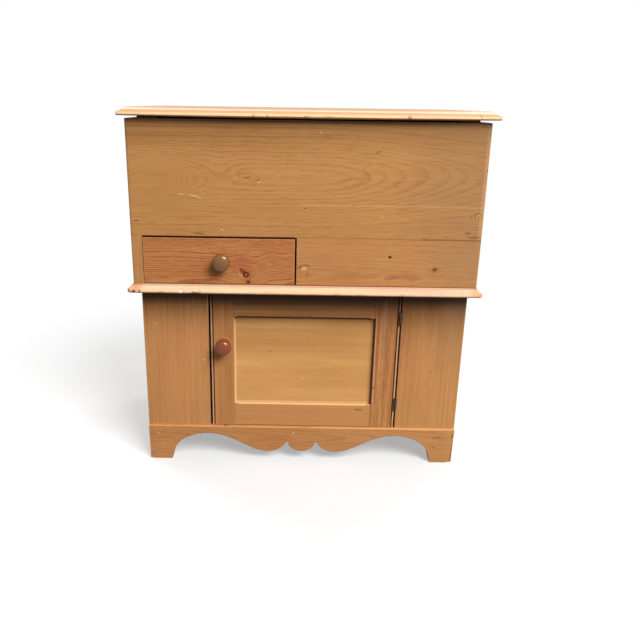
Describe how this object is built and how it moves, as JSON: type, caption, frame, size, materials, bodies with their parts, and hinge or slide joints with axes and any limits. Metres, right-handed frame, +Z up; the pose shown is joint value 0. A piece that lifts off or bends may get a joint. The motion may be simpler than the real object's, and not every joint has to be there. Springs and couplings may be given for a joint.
{
  "type": "dry sink cabinet",
  "caption": "Lift-top pine dry sink: a lidded well box with a small drawer, on a moulded waist board above a one-door cupboard with a scalloped apron.",
  "frame": {"origin": "on the floor, under the centre of the whole piece's bounding box, from the drawer knob to the lid hinges", "axes": "+Z up, +Y towards the back that stands against a wall, +X to the right of someone facing the front"},
  "size_m": [0.79, 0.4796, 0.818],
  "materials": {
    "pine_front": "waxed, satin",
    "pine_moulding": "waxed, satin",
    "pine_drawer": "waxed, satin",
    "pine_door": "waxed, satin",
    "pine_panel": "waxed, satin",
    "pine_inside": "bare, matt",
    "knob_pale": "turned, glossy",
    "knob_red": "turned, glossy",
    "iron": "dark, aged"
  },
  "bodies": {
    "cabinet": {"upper_front_board": "pine_front", "lower_front_board": "pine_front", "drawer_stile": "pine_front", "box_side_left": "pine_front", "box_side_right": "pine_front", "case_stile_left": "pine_front", "case_stile_right": "pine_front", "apron": "pine_front", "case_side_left": "pine_front", "case_side_right": "pine_front", "waist_board": "pine_moulding", "box_back_upper": "pine_inside", "box_back_lower": "pine_inside", "hinge_rail": "pine_inside", "drawer_divider": "pine_inside", "drawer_top_board": "pine_inside", "drawer_guide": "pine_inside", "drawer_stop": "pine_inside", "corner_post_left": "pine_inside", "corner_post_right": "pine_inside", "cupboard_floor": "pine_inside", "floor_ledger_left": "pine_inside", "floor_ledger_right": "pine_inside", "foot_block_left": "pine_inside", "foot_block_right": "pine_inside", "back_plank_left": "pine_inside", "back_plank_middle": "pine_inside", "back_plank_right": "pine_inside", "door_stop": "pine_inside", "lid_hinge_left_box_leaf": "iron", "lid_hinge_left_pin": "iron", "lid_hinge_right_box_leaf": "iron", "lid_hinge_right_pin": "iron", "door_hinge_upper_case_leaf": "iron", "door_hinge_upper_pin": "iron", "door_hinge_lower_case_leaf": "iron", "door_hinge_lower_pin": "iron"},
    "lid": {"lid_board_front": "pine_moulding", "lid_board_back": "pine_moulding", "lid_batten_left": "pine_inside", "lid_batten_right": "pine_inside", "lid_hinge_left_lid_leaf": "iron", "lid_hinge_right_lid_leaf": "iron"},
    "door": {"door_stile_left": "pine_door", "door_stile_right": "pine_door", "door_rail_top": "pine_door", "door_rail_bottom": "pine_door", "door_panel": "pine_panel", "door_hinge_upper_door_leaf": "iron", "door_hinge_lower_door_leaf": "iron"},
    "door_latch": {"door_knob": "knob_red", "turn_button": "pine_inside"},
    "drawer": {"drawer_front": "pine_drawer", "drawer_side_left": "pine_inside", "drawer_side_right": "pine_inside", "drawer_back": "pine_inside", "drawer_bottom": "pine_inside", "drawer_knob": "knob_pale"}
  },
  "joints": [
    {"name": "lid_hinge", "type": "hinge", "parent": "cabinet", "child": "lid", "pos_m": [0, 0.23617, 0.79775], "axis": [-1, 0, 0], "range_deg": [0, 100]},
    {"name": "door_hinge", "type": "hinge", "parent": "cabinet", "child": "door", "pos_m": [0.2207, -0.19617, 0.256], "axis": [0, 0, 1], "range_deg": [0, 170]},
    {"name": "latch_turn", "type": "hinge", "parent": "door", "child": "door_latch", "pos_m": [-0.1833, -0.1938, 0.297], "axis": [0, 1, 0], "range_deg": [0, 90]},
    {"name": "drawer_slide", "type": "slide", "parent": "cabinet", "child": "drawer", "axis": [0, -1, 0], "range_m": [0, 0.28]}
  ]
}
